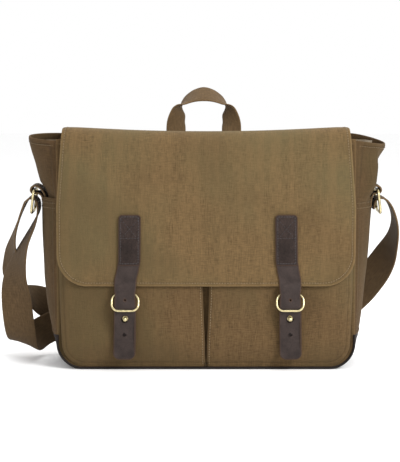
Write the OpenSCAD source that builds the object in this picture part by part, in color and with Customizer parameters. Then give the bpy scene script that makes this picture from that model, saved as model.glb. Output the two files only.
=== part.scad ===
// Messenger bag: canvas body with two front pockets, a front flap with two leather
// closure straps, a grab handle and a webbing shoulder strap.
// Millimetres. +Z is up, +X runs across the bag and the front faces -Y.
// The origin is the centre of the resting face.

/* [Body] */
// Width of the front and back panels
panel_w = 364; // [340:1:380]
// Height of the mouth above the resting face
mouth_z = 281; // [270:1:290]
// Depth of the bag at its base
base_d = 100; // [94:1:110]
// Depth of the bag at its mouth
mouth_d = 78; // [74:1:84]
// Radius of the panels' bottom corners
corner_r = 31; // [20:1:40]
// Thickness of the canvas panels with their facing
canvas_t = 2; // [1.5:0.1:2.5]
// Height of the leather that wraps up each side
base_wrap_z = 40; // [30:1:50]

/* [Pockets] */
// Height of the front pockets' open edge
pocket_top = 198; // [170:1:205]
// How far the front pockets stand off the front panel
pocket_deep = 13.5; // [11:0.5:14]
// Gap between the two front pockets
pocket_split = 5; // [3:0.5:10]
// Height of the side pockets' open edge
side_pocket_top = 209; // [180:1:212]

/* [Flap] */
// Height of the flap's bottom edge
flap_low = 105; // [98:1:115]
// Width of the flap at its bottom
flap_w = 362; // [330:1:364]
// Width of the flap at the top fold
flap_top_w = 348; // [330:1:360]
// Thickness of the flap's canvas
flap_t = 2.4; // [2:0.1:3]

/* [Closure] */
// Width of the leather closure straps
strap_w = 25.4; // [22:0.1:26]
// Thickness of the leather
leather_t = 2.2; // [1.8:0.1:2.4]
// Outer width of the closure ring
ring_w = 35; // [34:0.5:38]
// Wire diameter of the closure ring
ring_wire = 2.6; // [2:0.1:2.8]
// Diameter of the ball stud's head
stud_head = 5.8; // [5:0.1:6]
// Diameter of the hole that the stud passes
stud_hole = 8; // [7.6:0.1:8.4]

/* [Straps] */
// Width of the shoulder webbing
web_w = 38; // [36:1:40]
// Thickness of the shoulder webbing
web_t = 2.4; // [2:0.1:2.6]
// Width of the grab handle
handle_w = 25; // [22:1:26]
// Height of the grab handle above its fold
handle_rise = 40; // [36:1:46]
// Wire diameter of the side rings
side_wire = 3.4; // [3:0.1:3.6]

/* [Hidden] */
$fn = 48;
gap = 0.3;
lean = atan((base_d - mouth_d) / 2 / mouth_z);
half_w = panel_w / 2;
back_top = 286;

// where the flap folds: at the back seam and at the front edge of the mouth
back_fold = [39, 288.5];
front_fold = [-43.5, 290.5];
flap_knee = [-60.4, 200];
flap_foot = [-63.5, flap_low];
flap_corner = 37;
fold_room = 4;

// closure stack, from the pocket outwards, as [y, z]
ring_axis = [-65.4, 95];
ring_drop = [-7.9, -19.4];
ring_bend = 8.4;
strap_top = 191;
strap_kink = 113;
strap_end = 15.5;
strap_in = -68.8;
tail_axis = [strap_in - leather_t, 72.5];
tab_in = -62.4;
tab_t = 2;
tab_low = 32;
stud_z = 65;
snap_z = 45;
snap_r = 7;
snap_t = 0.8;
closure_x = [-98, 102];
closure_top_x = [-92, 97];

// sides: bulge of the gusset beyond the panel seam, by height
gusset_bulge = [[40, 8], [110, 13], [205, 14], [232, 20], [262, 31], [mouth_z, 40]];
side_pocket_bulge = [[40, 10], [110, 20], [side_pocket_top, 22]];
side_pocket_t = 1.2;

// side rings and the tabs that hold them
tab_x = 212;
tab_z = 217.5;
tab_r = 5.4;
side_ring_h = 28;
side_ring_bend = 6;
ring_tilt = 7;
side_ring_w = web_w + 2 * side_wire + 3;

// handle
handle_t = 2.6;
handle_x = 35;
handle_fold = [42, 289.5];
handle_low = 232;

// shoulder strap: [place, direction of its width], from the right ring to the slider
strap_route = [
    [[207.5, 0, 194], [0, 1, 0]],
    [[210.5, 0, 206], [0, 1, 0]],
    [[221, 1, 206.5], [0, 1, 0]],
    [[231, 4, 195], [0, 1, 0]],
    [[237, 9, 174], [-0.08, 1, 0]],
    [[235, 17, 151], [-0.3, 0.95, 0.05]],
    [[226, 28, 127], [-0.65, 0.7, 0.25]],
    [[212, 40, 102], [-0.75, 0.3, 0.55]],
    [[192, 53, 75], [-0.6, 0, 0.8]],
    [[160, 59, 50], [-0.35, 0, 0.95]],
    [[114, 62, 29], [-0.15, 0, 1]],
    [[60, 64, 20.5], [0, 0, 1]],
    [[2, 66, 20], [0, 0, 1]],
    [[-40, 74, 20], [0, 0, 1]],
    [[-44, 92, 20], [0, 0, 1]],
    [[-10, 100, 20], [0, 0, 1]],
    [[38, 102, 20], [0, 0, 1]],
    [[74, 112, 20], [0, 0, 1]],
    [[72, 130, 20], [0, 0, 1]],
    [[32, 136, 20], [0, 0, 1]],
    [[-28, 128, 20], [0, 0, 1]],
    [[-84, 104, 21], [0, 0, 1]],
    [[-134, 72, 31], [0, 0, 1]],
    [[-178, 58, 40], [-0.1, 0, 1]],
    [[-205, 46, 37], [-0.4, 0, 0.9]],
    [[-219, 30, 29], [-0.85, 0, 0.5]],
    [[-225, 13, 28], [-0.95, 0, 0.35]],
    [[-227, -2, 45], [-1, 0, 0.15]],
    [[-231, -6, 78], [-1, 0.1, 0]],
    [[-235, -6, 110], [-0.8, 0.6, 0]],
    [[-228, -4, 144], [-0.4, 0.9, -0.1]],
    [[-214, -2, 174], [-0.15, 1, 0]],
    [[-208, 0, 193], [0, 1, 0]],
    [[-210.5, 0, 205.5], [0, 1, 0]],
    [[-221, 1, 205], [0, 1, 0]],
    [[-232, 8, 183], [-0.05, 1, 0]],
    [[-241, 21, 155], [-0.2, 1, 0]],
    [[-245, 35, 126], [-0.6, 0.8, 0.1]],
    [[-236, 48, 94], [-0.8, 0.4, 0.4]],
    [[-208, 62, 66], [-0.4, 0.1, 0.9]],
    [[-168, 67, 48], [-0.1, 0, 1]],
    [[-126, 66, 41], [0, 0, 1]]
];
slider_at = [-122, 66, 38];

canvas_colour = [0.44, 0.36, 0.25];
flap_colour = [0.5, 0.42, 0.3];
gusset_colour = [0.37, 0.3, 0.21];
leather_colour = [0.26, 0.23, 0.22];
brass_colour = [0.63, 0.56, 0.36];
lining_colour = [0.6, 0.53, 0.4];
web_colour = [0.42, 0.34, 0.24];

// ---- helpers ----

// extrudes a [y, z] outline along X, centred
module slab_x(width, outline) {
    rotate([90, 0, 90]) linear_extrude(width, center = true) polygon(outline);
}

// extrudes an [x, z] outline along Y, from y0 to y1
module slab_y(y0, y1) {
    translate([0, y1, 0]) rotate([90, 0, 0]) linear_extrude(y1 - y0) children();
}

module lean_front() {
    translate([0, -base_d / 2, 0]) rotate([-lean, 0, 0]) children();
}

module lean_back() {
    translate([0, base_d / 2, 0]) rotate([lean, 0, 0]) children();
}

// panel outline with round bottom corners
module panel_outline(width, low, high, r) {
    translate([-width / 2, low + r]) square([width, high - low - r]);
    translate([-width / 2 + r, low]) square([width - 2 * r, r + 1]);
    for (side = [-1, 1])
        translate([side * (width / 2 - r), low + r]) circle(r);
}

// the space between the two leaning panels
module between_panels(inset) {
    high = 300;
    low_half = base_d / 2 - inset;
    high_half = low_half - high * tan(lean);
    slab_x(2 * panel_w, [[-low_half, -1], [low_half, -1], [high_half, high], [-high_half, high]]);
}

// points along an arc
function arc(centre, r, from, to) =
    [for (k = [0:8]) let (a = from + (to - from) * k / 8) centre + r * [cos(a), sin(a)]];

function unit(v) = v / norm(v);
function pick(list, i) = list[max(0, min(len(list) - 1, i))];

// smooth curve through the list's values at place i + t
function smooth(list, i, t) =
    let (a = pick(list, i - 1), b = pick(list, i), c = pick(list, i + 1), d = pick(list, i + 2))
    0.5 * (2 * b + (c - a) * t + (2 * a - 5 * b + 4 * c - d) * t * t
        + (3 * b - a - 3 * c + d) * t * t * t);

// closed skin over two grids of points that face each other
module skin(outer, inner) {
    rows = len(outer);
    cols = len(outer[0]);
    n = rows * cols;
    points = concat([for (row = outer) each row], [for (row = inner) each row]);
    sides = [for (i = [0:rows - 2], j = [0:cols - 2])
        let (a = i * cols + j, b = a + 1, c = a + cols + 1, d = a + cols)
        each [[a, c, b], [a, d, c], [n + a, n + b, n + c], [n + a, n + c, n + d]]];
    ends = [for (j = [0:cols - 2])
        let (a = j, b = j + 1, c = (rows - 1) * cols + j, d = c + 1)
        each [[a, b, n + b], [a, n + b, n + a], [c, n + c, n + d], [c, n + d, d]]];
    edges = [for (i = [0:rows - 2])
        let (a = i * cols, b = a + cols, c = a + cols - 1, d = c + cols)
        each [[a, n + a, n + b], [a, n + b, b], [c, n + d, n + c], [c, d, n + d]]];
    polyhedron(points, concat(sides, ends, edges), convexity = 8);
}

// flat section swept along a route of [place, width direction], steps rings per stretch
module ribbon(route, width, thick, steps) {
    places = [for (r = route) r[0]];
    widths = [for (r = route) unit(r[1])];
    spans = len(route) - 1;
    count = spans * steps;
    line = [for (k = [0:count]) smooth(places, floor(k / steps), (k % steps) / steps)];
    across = [for (k = [0:count]) smooth(widths, floor(k / steps), (k % steps) / steps)];
    section = [[-1, 0.3], [-0.95, 1], [0.95, 1], [1, 0.3], [1, -0.3], [0.95, -1], [-0.95, -1],
        [-1, -0.3]];
    m = len(section);
    points = [for (k = [0:count])
        let (along = unit(pick(line, k + 1) - pick(line, k - 1)),
            w = unit(across[k] - (across[k] * along) * along), up = cross(along, w))
        each [for (s = section) line[k] + w * s[0] * width / 2 + up * s[1] * thick / 2]];
    walls = [for (k = [0:count - 1], j = [0:m - 1])
        let (a = k * m + j, b = k * m + (j + 1) % m)
        each [[a, a + m, b + m], [a, b + m, b]]];
    caps = [[for (j = [0:m - 1]) j], [for (j = [m - 1:-1:0]) count * m + j]];
    polyhedron(points, concat(walls, caps), convexity = 10);
}

// wire bent to a closed rectangle in the XZ plane, hung from its top bar at the origin
module wire_loop(width, height, wire, corner) {
    run = width - wire - 2 * corner;
    drop = height - 2 * corner;
    for (z = [0, -height])
        translate([0, 0, z]) rotate([0, 90, 0]) cylinder(h = run, r = wire / 2, center = true);
    for (side = [-1, 1]) {
        translate([side * (width - wire) / 2, 0, -corner - drop])
            cylinder(h = drop, r = wire / 2);
        for (low = [0, 1])
            translate([side * run / 2, 0, low ? corner - height : -corner])
                rotate([90, 0, 0])
                    rotate([0, 0, side > 0 ? (low ? -90 : 0) : (low ? 180 : 90)])
                        rotate_extrude(angle = 90) translate([corner, 0]) circle(wire / 2);
    }
}

// ---- body ----

module back_panel() {
    color(gusset_colour) lean_back() slab_y(-canvas_t, 0)
        panel_outline(panel_w, 1, back_top, corner_r);
}

module front_panel() {
    color(canvas_colour) lean_front() slab_y(0, canvas_t)
        panel_outline(panel_w, 1, mouth_z, corner_r);
}

// leather strip under the bag and up both sides
module base_strip() {
    color(leather_colour) intersection() {
        slab_y(-base_d, base_d) difference() {
            panel_outline(panel_w + 4, 0, base_wrap_z, corner_r + 2);
            translate([0, leather_t])
                panel_outline(panel_w + 4 - 2 * leather_t, 0, base_wrap_z, corner_r);
        }
        between_panels(canvas_t + gap);
        translate([-panel_w, -base_d, 0]) cube([2 * panel_w, 2 * base_d, base_wrap_z]);
    }
}

module base_stiffener() {
    color(lining_colour) translate([-150, -43, 2.6]) cube([300, 86, 2.4]);
}

// leather piping along a panel's bottom edge and round its corners
module piping() {
    r = 1.5;
    run = panel_w / 2 - corner_r;
    color(leather_colour) {
        translate([0, 0, r]) rotate([0, 90, 0]) cylinder(h = 2 * run, r = r, center = true);
        for (side = [-1, 1]) {
            translate([side * run, 0, corner_r + r]) rotate([90, 0, 0])
                rotate([0, 0, side > 0 ? -90 : 180])
                    rotate_extrude(angle = 90) translate([corner_r, 0]) circle(r);
            translate([side * (run + corner_r), 0, corner_r + r]) cylinder(h = 10, r = r);
        }
    }
}

// side wall: row by row up the bag, from the front seam round to the back seam
function side_row(z, bulge, inset, grow) =
    let (half = base_d / 2 - z * tan(lean) - inset, seam = half_w - 1 + grow)
    [for (k = [0:8]) let (t = k / 8, round_out = pow(sin(180 * t), 0.8))
        [seam + bulge * round_out, -half + 2 * half * t, z]];

module side_wall(heights, bulges, thick, inset, lift, side) {
    outer = [for (z = heights) side_row(z, lookup(z, bulges), inset, lift)];
    inner = [for (z = heights) side_row(z, lookup(z, bulges), inset, lift - thick)];
    if (side > 0) skin(outer, inner);
    else mirror([1, 0, 0]) skin(outer, inner);
}

module gusset(side) {
    color(gusset_colour)
        side_wall([41, 75, 110, 150, 190, 215, 232, 247, 262, mouth_z], gusset_bulge,
            canvas_t, canvas_t + gap, 0, side);
}

module side_pocket(side) {
    color(gusset_colour)
        side_wall([41, 75, 110, 150, 180, side_pocket_top], side_pocket_bulge,
            side_pocket_t, canvas_t + gap, side_pocket_t + gap, side);
}

// pocket profile as [y, z], in the leaning frame of the front panel
function pocket_profile(t) = [[1, 4 + t], [-4 + t, 4 + t], [t - pocket_deep + 1.5, 30],
    [t - pocket_deep, pocket_top + 4 * t], [1, pocket_top + 4 * t]];

module pocket_block(x0, x1, t, low) {
    intersection() {
        slab_x(panel_w * 2, pocket_profile(t));
        slab_y(-50, -0.2 + t) intersection() {
            translate([x0, 0]) square([x1 - x0, 300]);
            panel_outline(panel_w - 3.6 - 2 * t, low, 260, corner_r);
        }
    }
}

module front_pocket(side) {
    wall = 1.6;
    x0 = pocket_split / 2;
    color(canvas_colour) lean_front() mirror([side > 0 ? 0 : 1, 0, 0]) difference() {
        pocket_block(x0, half_w, 0, 4);
        pocket_block(x0 + wall, half_w - 1.8 - wall, wall, 4 + wall);
    }
}

module snap_disc(x, y) {
    translate([x, y, snap_z]) rotate([90, 0, 0]) cylinder(h = snap_t, r = snap_r);
}

module snap_socket(i) {
    color(brass_colour) snap_disc(closure_x[i], -60.55);
}

// ---- inside ----

module lining() {
    color(lining_colour) difference() {
        intersection() {
            slab_y(-base_d, base_d) panel_outline(354, 5.4, mouth_z - 2, corner_r - 2);
            between_panels(canvas_t + 0.4);
        }
        intersection() {
            slab_y(-base_d, base_d) panel_outline(352.4, 6.2, mouth_z, corner_r - 2.8);
            between_panels(canvas_t + 1.2);
        }
    }
}

module laptop_divider() {
    color(lining_colour) lean_back() translate([-165, -19, 13]) cube([330, 5, 222]);
}

module divider_strap() {
    color(lining_colour) lean_back() translate([-19, -20.8, 150]) cube([38, 1.5, 84]);
}

module slip_pocket() {
    color(lining_colour) lean_back() difference() {
        translate([-100, -26.2, 20]) cube([200, 7, 115]);
        translate([-98.8, -25, 21.2]) cube([197.6, 7, 116]);
    }
}

// ---- shoulder strap ----

// folded webbing that hangs a side ring
module strap_tab(side) {
    bore_r = side_wire / 2 + 0.3;
    mirror([side > 0 ? 0 : 1, 0, 0]) color(web_colour) slab_y(-18, 18) difference() {
        polygon(concat([[tab_x - 9, tab_z + 13], [tab_x - 9, tab_z + 6]],
            arc([tab_x, tab_z], tab_r, 180, 360), [[tab_x - 1, tab_z + 13]]));
        translate([tab_x, tab_z]) circle(bore_r);
    }
}

module strap_ring(side) {
    color(brass_colour) translate([side * tab_x, 0, tab_z]) rotate([0, -ring_tilt * side, 0])
        rotate([0, 0, 90]) wire_loop(side_ring_w, side_ring_h, side_wire, side_ring_bend);
}

module shoulder_strap() {
    color(web_colour) ribbon(strap_route, web_w, web_t, 2);
}

module strap_slider() {
    color(brass_colour) translate(slider_at) slab_y(-1.2, 1.2) difference() {
        translate([-13, -23]) square([26, 46]);
        for (x = [-10.2, 1.4]) translate([x, -20]) square([8.8, 40]);
    }
}

// ---- handle ----

module handle_tail(side) {
    color(web_colour) lean_back()
        translate([side * handle_x - handle_w / 2, gap, handle_low])
            cube([handle_w, handle_t, handle_fold[1] - handle_low - 1]);
}

// the handle's legs face front and back, and the strip turns to bring its crown flat
module handle() {
    steps = 16;
    lean_out = 9;
    route = [for (k = [0:steps])
        let (a = 180 - 180 * k / steps, high = sin(a), turn = 180 * k / steps)
        [[handle_x * cos(a) / pow(abs(cos(a)) + 0.001, 0.45),
            handle_fold[0] + lean_out * high,
            handle_fold[1] + 0.6 + handle_rise * pow(high, 0.75)],
            [-cos(turn), -0.75 * sin(turn), -0.65 * sin(turn)]]];
    color(web_colour) ribbon(route, handle_w, handle_t, 2);
}

// ---- flap ----

module flap_top() {
    color(flap_colour) slab_x(flap_top_w, [[back_fold[0] - 0.5, back_fold[1]],
        [front_fold[0] + fold_room, front_fold[1]],
        [front_fold[0] + fold_room, front_fold[1] - flap_t],
        [back_fold[0] - 0.5, back_fold[1] - flap_t]]);
}

// [y, z] outline of a cloth layer that hangs from the front fold
function hanging(inset, thick) =
    let (face = [front_fold + [inset + 0.2, -0.9], flap_knee + [inset, 0], flap_foot + [inset, 0]])
    [face[0], face[1], face[2], face[2] + [thick, 0], face[1] + [thick, 0], face[0] + [thick, 0]];

module flap_outline(inset) {
    high = front_fold[1];
    wide = flap_w / 2 - inset;
    low = flap_low + inset;
    r = flap_corner;
    polygon(concat([[wide, low + 100], [flap_top_w / 2 - inset, high],
        [inset - flap_top_w / 2, high], [-wide, low + 100]],
        arc([r - wide, low + r], r, 180, 270), arc([wide - r, low + r], r, 270, 360)));
}

module flap_layer(inset, thick, edge) {
    intersection() {
        slab_x(2 * panel_w, hanging(inset, thick));
        slab_y(-100, 0) flap_outline(edge);
    }
}

module flap_front() {
    color(flap_colour) flap_layer(0, flap_t, 0);
}

module flap_lining() {
    color(lining_colour) flap_layer(flap_t + 0.1, 0.7, 6);
}

// ---- closure ----

// leather strap sewn to the flap, down to the tail's fold
module closure_strap(i) {
    t = leather_t;
    low = tail_axis[1] + 0.4;
    side = strap_w / 2;
    face = [[-61.2, strap_top], [-63.8, strap_kink], [strap_in, 99], [strap_in, low]];
    color(leather_colour) intersection() {
        slab_x(2 * panel_w, [face[0], face[1], face[2], face[3], face[3] - [t, 0],
            face[2] - [t, 0], face[1] - [t, 0], face[0] - [t, 0]]);
        slab_y(-100, 0) polygon([[closure_top_x[i] - side, strap_top],
            [closure_top_x[i] + side, strap_top], [closure_x[i] + side, strap_kink],
            [closure_x[i] + side, low], [closure_x[i] - side, low],
            [closure_x[i] - side, strap_kink]]);
    }
}

// end of the closure strap, which lifts off the stud
module strap_tail(i) {
    t = leather_t;
    high = tail_axis[1] - 0.4;
    face = [[strap_in, high], [tab_in - tab_t - 0.3, 50], [tab_in - tab_t - 0.3, strap_end]];
    chamfer = 6;
    color(leather_colour) difference() {
        intersection() {
            slab_x(2 * panel_w, [face[0], face[1], face[2], face[2] - [t, 0],
                face[1] - [t, 0], face[0] - [t, 0]]);
            slab_y(-100, 0) translate([closure_x[i], 0]) polygon([[-strap_w / 2, high],
                [strap_w / 2, high], [strap_w / 2, strap_end + chamfer],
                [strap_w / 2 - chamfer, strap_end], [chamfer - strap_w / 2, strap_end],
                [-strap_w / 2, strap_end + chamfer]]);
        }
        translate([closure_x[i], -50, stud_z]) rotate([90, 0, 0])
            cylinder(h = 40, r = stud_hole / 2);
    }
}

// leather tab behind the strap, looped round the closure ring's top bar
module anchor_tab(i) {
    width = 14;
    color(leather_colour) translate([closure_x[i], 0, 0]) difference() {
        union() {
            slab_x(strap_w - 1, [[tab_in, tab_low], [tab_in, ring_axis[1] - 8],
                [tab_in - tab_t, ring_axis[1] - 8], [tab_in - tab_t, tab_low]]);
            slab_x(width, [[tab_in, ring_axis[1] - 8], [tab_in, ring_axis[1]],
                [tab_in - tab_t, ring_axis[1]], [tab_in - tab_t, ring_axis[1] - 8]]);
            translate([0, ring_axis[0], ring_axis[1]]) rotate([0, 90, 0])
                cylinder(h = width, r = ring_wire / 2 + 1.3, center = true);
        }
        translate([0, ring_axis[0], ring_axis[1]]) rotate([0, 90, 0])
            cylinder(h = width + 2, r = ring_wire / 2 + 0.06, center = true);
    }
}

module stud(i) {
    foot = -tab_in + tab_t;
    color(brass_colour) translate([closure_x[i], 0, stud_z]) rotate([90, 0, 0]) {
        translate([0, 0, foot]) cylinder(h = 0.8, r = 3.4);
        translate([0, 0, foot]) cylinder(h = 6, r = 1.5);
        translate([0, 0, foot + 7.2]) sphere(stud_head / 2);
    }
}

module snap_stud(i) {
    color(brass_colour) snap_disc(closure_x[i], tab_in + snap_t + 0.02);
}

module closure_ring(i) {
    height = norm(ring_drop);
    tilt = atan(ring_drop[0] / ring_drop[1]);
    color(brass_colour) translate([closure_x[i], ring_axis[0], ring_axis[1]])
        rotate([-tilt, 0, 0]) wire_loop(ring_w, height, ring_wire, ring_bend);
}

back_panel();
front_panel();
base_strip();
base_stiffener();
lean_front() translate([0, -1.6, 0]) piping();  // piping_front
lean_back() translate([0, 1.6, 0]) piping();  // piping_back
gusset(-1);  // gusset_left
gusset(1);  // gusset_right
side_pocket(-1);  // side_pocket_left
side_pocket(1);  // side_pocket_right
front_pocket(-1);  // front_pocket_left
front_pocket(1);  // front_pocket_right
snap_socket(0);  // snap_socket_left
snap_socket(1);  // snap_socket_right
lining();
laptop_divider();
divider_strap();
slip_pocket();
strap_tab(-1);  // strap_tab_left
strap_tab(1);  // strap_tab_right
strap_ring(-1);  // strap_ring_left
strap_ring(1);  // strap_ring_right
shoulder_strap();
strap_slider();
handle_tail(-1);  // handle_tail_left
handle_tail(1);  // handle_tail_right
handle();
flap_top();
flap_front();
flap_lining();
closure_strap(0);  // closure_strap_left
closure_strap(1);  // closure_strap_right
anchor_tab(0);  // anchor_tab_left
anchor_tab(1);  // anchor_tab_right
stud(0);  // stud_left
stud(1);  // stud_right
snap_stud(0);  // snap_stud_left
snap_stud(1);  // snap_stud_right
closure_ring(0);  // closure_ring_left
closure_ring(1);  // closure_ring_right
strap_tail(0);  // strap_tail_left
strap_tail(1);  // strap_tail_right
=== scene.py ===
import math

import bpy
import numpy as np
from mathutils.geometry import delaunay_2d_cdt
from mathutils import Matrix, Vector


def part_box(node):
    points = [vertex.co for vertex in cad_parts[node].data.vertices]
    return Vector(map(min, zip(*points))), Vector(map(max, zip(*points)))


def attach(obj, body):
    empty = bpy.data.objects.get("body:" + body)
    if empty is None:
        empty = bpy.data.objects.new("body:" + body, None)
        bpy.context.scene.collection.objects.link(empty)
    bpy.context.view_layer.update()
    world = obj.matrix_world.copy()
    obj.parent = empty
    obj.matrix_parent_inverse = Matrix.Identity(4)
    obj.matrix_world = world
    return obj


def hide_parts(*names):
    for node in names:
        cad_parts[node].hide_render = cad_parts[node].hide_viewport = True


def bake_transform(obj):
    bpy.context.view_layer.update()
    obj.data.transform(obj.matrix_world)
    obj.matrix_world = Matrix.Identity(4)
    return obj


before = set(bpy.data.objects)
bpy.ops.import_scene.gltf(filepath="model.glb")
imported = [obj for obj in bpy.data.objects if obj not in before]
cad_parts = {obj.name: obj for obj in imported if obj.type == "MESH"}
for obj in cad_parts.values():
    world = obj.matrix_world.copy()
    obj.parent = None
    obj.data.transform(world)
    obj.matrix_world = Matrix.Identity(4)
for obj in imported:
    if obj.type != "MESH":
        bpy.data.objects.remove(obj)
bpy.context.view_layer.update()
print("frame loaded:", len(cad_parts), "nodes")

# Shapes are worked out in millimetres and become metres when a mesh is made.
milli = 0.001


def boxOf(node):
    low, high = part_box(node)
    return np.array(low) / milli, np.array(high) / milli


frontLow, frontHigh = boxOf("front_panel")
bag = {
    "halfWidth": frontHigh[0],
    "baseHalf": -frontLow[1],
    "mouth": frontHigh[2],
    "cornerRadius": 31,
    "clothThick": 2.0,
    "wrapHeight": boxOf("base_strip")[1][2],
    "pocketTop": boxOf("front_pocket_left")[1][2],
    "sidePocketTop": boxOf("side_pocket_left")[1][2],
}
bag["leanSlope"] = (bag["baseHalf"] + frontHigh[1] - bag["clothThick"]) / bag["mouth"]


# ---- camera, floor and light ----

cameraSettings = {
    "distance": 1.95,
    "elevation": 6.2,
    "aim": (-0.0073, -0.052, 0.1706),
    "lens": 125.0,
}


def makeCamera():
    camera = bpy.data.cameras.new("camera")
    camera.lens = cameraSettings["lens"]
    camera.clip_start = 0.05
    holder = bpy.data.objects.new("camera", camera)
    bpy.context.collection.objects.link(holder)
    rise = math.radians(cameraSettings["elevation"])
    aim = cameraSettings["aim"]
    reach = cameraSettings["distance"]
    holder.location = (aim[0], aim[1] - reach * math.cos(rise), aim[2] + reach * math.sin(rise))
    holder.rotation_euler = (math.pi / 2 - rise, 0, 0)
    bpy.context.scene.camera = holder


lightSettings = {
    "key": {"place": (1.15, -1.35, 1.15), "size": 0.8, "power": 40},
    "fill": {"place": (-1.3, -1.3, 0.7), "size": 1.4, "power": 4},
    "top": {"place": (0.1, 0.3, 1.7), "size": 1.0, "power": 18},
}


lightAim = 0.15  # height that every light faces


def makeLights():
    for name, settings in lightSettings.items():
        light = bpy.data.lights.new(name, "AREA")
        light.size = settings["size"]
        light.energy = settings["power"]
        holder = bpy.data.objects.new(name, light)
        bpy.context.collection.objects.link(holder)
        holder.location = settings["place"]
        away = holder.location.copy()
        away.z -= lightAim
        holder.rotation_euler = away.to_track_quat("Z", "Y").to_euler()
    world = bpy.data.worlds.new("studio")
    world.use_nodes = True
    backdrop = world.node_tree.nodes["Background"]
    backdrop.inputs["Color"].default_value = (1, 1, 1, 1)
    backdrop.inputs["Strength"].default_value = 1.0
    bpy.context.scene.world = world
    bpy.context.scene.view_settings.view_transform = "Standard"


floorSettings = {"half": 6, "grey": 0.97, "roughness": 0.9}


def makeFloor():
    mesh = bpy.data.meshes.new("floor")
    half, grey = floorSettings["half"], floorSettings["grey"]
    corners = [(-half, -half, 0), (half, -half, 0), (half, half, 0), (-half, half, 0)]
    mesh.from_pydata(corners, [], [(0, 1, 2, 3)])
    floor = bpy.data.objects.new("floor", mesh)
    bpy.context.collection.objects.link(floor)
    material = bpy.data.materials.new("paleFloor")
    material.use_nodes = True
    shader = material.node_tree.nodes["Principled BSDF"]
    shader.inputs["Base Color"].default_value = (grey, grey, grey, 1)
    shader.inputs["Roughness"].default_value = floorSettings["roughness"]
    mesh.materials.append(material)


makeCamera()
makeLights()
makeFloor()
print("camera, light and floor made")


# ---- materials ----


def newMaterial(name):
    material = bpy.data.materials.new(name)
    material.use_nodes = True
    return material, material.node_tree, material.node_tree.nodes["Principled BSDF"]


def addNode(tree, kind, inputs=None, **settings):
    node = tree.nodes.new(kind)
    for key, value in settings.items():
        setattr(node, key, value)
    for key, value in (inputs or {}).items():
        if isinstance(value, bpy.types.NodeSocket):
            tree.links.new(value, node.inputs[key])
        else:
            node.inputs[key].default_value = value
    return node


def scaled(tree, source, scale):
    return addNode(tree, "ShaderNodeMapping", {"Vector": source, "Scale": scale}).outputs[0]


def noiseOf(tree, source, scale, detail=3.0, rough=0.6, warp=0.0):
    inputs = {"Vector": source, "Scale": scale, "Detail": detail, "Roughness": rough, "Distortion": warp}
    return addNode(tree, "ShaderNodeTexNoise", inputs).outputs["Fac"]


def remap(tree, value, low, high, start=0.0, end=1.0):
    inputs = {"Value": value, "From Min": low, "From Max": high, "To Min": start, "To Max": end}
    return addNode(tree, "ShaderNodeMapRange", inputs).outputs[0]


def maths(tree, kind, first, second):
    node = addNode(tree, "ShaderNodeMath", operation=kind)
    for socket, value in zip(node.inputs, (first, second)):
        if isinstance(value, bpy.types.NodeSocket):
            tree.links.new(value, socket)
        else:
            socket.default_value = value
    return node.outputs[0]


def mixColour(tree, share, first, second, blend="MIX"):
    node = addNode(tree, "ShaderNodeMix", data_type="RGBA", blend_type=blend)
    for index, value in ((0, share), (6, first), (7, second)):
        if isinstance(value, bpy.types.NodeSocket):
            tree.links.new(value, node.inputs[index])
        elif index == 0:
            node.inputs[index].default_value = value
        else:
            node.inputs[index].default_value = (*value, 1)
    return node.outputs[2]


def tinted(colour, factor):
    return tuple(min(1, c * factor) for c in colour)


# the base darkened by a grey pattern
def shaded(tree, base, value):
    grey = addNode(tree, "ShaderNodeCombineColor", {"Red": value, "Green": value, "Blue": value})
    return mixColour(tree, 1.0, base, grey.outputs[0], "MULTIPLY")


def flatMap(tree):
    return addNode(tree, "ShaderNodeUVMap", uv_map="flat").outputs[0]


def edgeGap(tree):
    return addNode(tree, "ShaderNodeAttribute", attribute_name="edge").outputs["Fac"]


waveUnit = 0.314  # wave texture scale that gives one yarn a metre


def yarnWave(tree, flat, direction, pitch, warp, detail=1.0, detailScale=1.0):
    inputs = {"Vector": flat, "Scale": waveUnit / pitch, "Distortion": warp, "Detail": detail,
              "Detail Scale": detailScale}
    return addNode(tree, "ShaderNodeTexWave", inputs, bands_direction=direction).outputs["Fac"]


surfaceInputs = {
    "roughness": "Roughness",
    "sheen": "Sheen Weight",
    "sheenRoughness": "Sheen Roughness",
    "gloss": "Specular IOR Level",
}


def setSurface(shader, **values):
    for key, value in values.items():
        shader.inputs[surfaceInputs[key]].default_value = value


def finish(tree, shader, colour, height, depth, strength):
    tree.links.new(colour, shader.inputs["Base Color"])
    bump = addNode(tree, "ShaderNodeBump", {"Height": height, "Distance": depth, "Strength": strength})
    tree.links.new(bump.outputs[0], shader.inputs["Normal"])


clothSettings = {
    "pitch": 0.00095,  # metres from yarn to yarn
    "yarnDepth": 0.00028,
    "sheen": 0.07,
    "roughness": 0.88,
    "sheenTint": (0.9, 0.75, 0.5, 1),
}


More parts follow.
